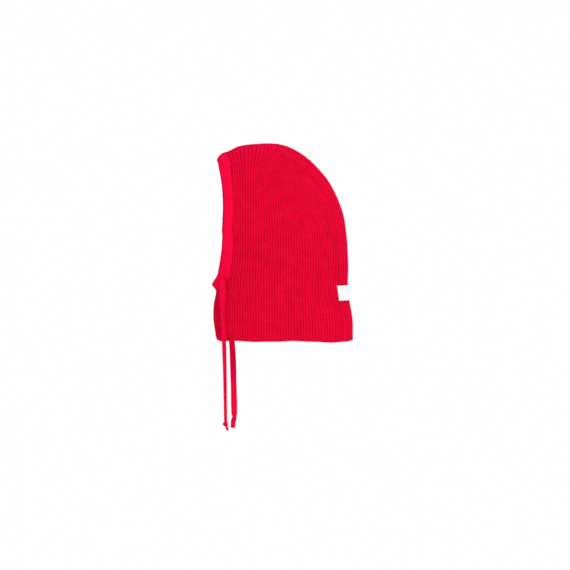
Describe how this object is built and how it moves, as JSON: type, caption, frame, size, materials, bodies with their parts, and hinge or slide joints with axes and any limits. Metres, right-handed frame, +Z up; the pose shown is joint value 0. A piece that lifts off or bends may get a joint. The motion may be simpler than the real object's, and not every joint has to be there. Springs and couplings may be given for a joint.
{
  "type": "drawstring balaclava",
  "caption": "Rib-knit hood that covers head and neck, with a smooth tubular face band, two hanging drawcord ties and a blank nape label.",
  "frame": {"origin": "the head seat: the point inside the crown, on the centre plane, that rests on the wearer's head", "axes": "+Z up, the face opening looks along -Y, the wearer's left is +X"},
  "size_m": [0.152, 0.2514, 0.5153],
  "materials": {
    "rib_knit": "matt red rib knit with soft fuzz",
    "seam_knit": "matt red linked seam",
    "band_knit": "matt red smooth knit",
    "cord_knit": "matt red flat knitted cord",
    "eyelet_thread": "matt red buttonhole thread",
    "label_weave": "matt white woven ribbon",
    "label_thread": "white sewing thread",
    "care_satin": "white satin ribbon"
  },
  "bodies": {
    "hood": {"hood_panel": "rib_knit", "back_gusset": "rib_knit", "dart_seam": "seam_knit", "left_gusset_seam": "seam_knit", "right_gusset_seam": "seam_knit", "front_neck_seam": "seam_knit", "band_seam": "seam_knit", "hem_edge": "rib_knit", "face_band": "band_knit", "drawcord_run": "cord_knit", "left_eyelet": "eyelet_thread", "right_eyelet": "eyelet_thread", "back_label": "label_weave", "label_stitches": "label_thread", "care_label": "care_satin"},
    "left_tie": {"left_tie": "cord_knit", "left_tie_knot": "cord_knit", "left_tie_tail": "cord_knit"},
    "right_tie": {"right_tie": "cord_knit", "right_tie_knot": "cord_knit", "right_tie_tail": "cord_knit"}
  },
  "joints": [
    {"name": "left_tie_swing", "type": "hinge", "parent": "hood", "child": "left_tie", "pos_m": [0.0336, -0.1126, -0.236], "axis": [0, -1, 0], "range_deg": [0, 75]},
    {"name": "right_tie_swing", "type": "hinge", "parent": "hood", "child": "right_tie", "pos_m": [-0.0336, -0.1126, -0.236], "axis": [0, 1, 0], "range_deg": [0, 75]}
  ]
}
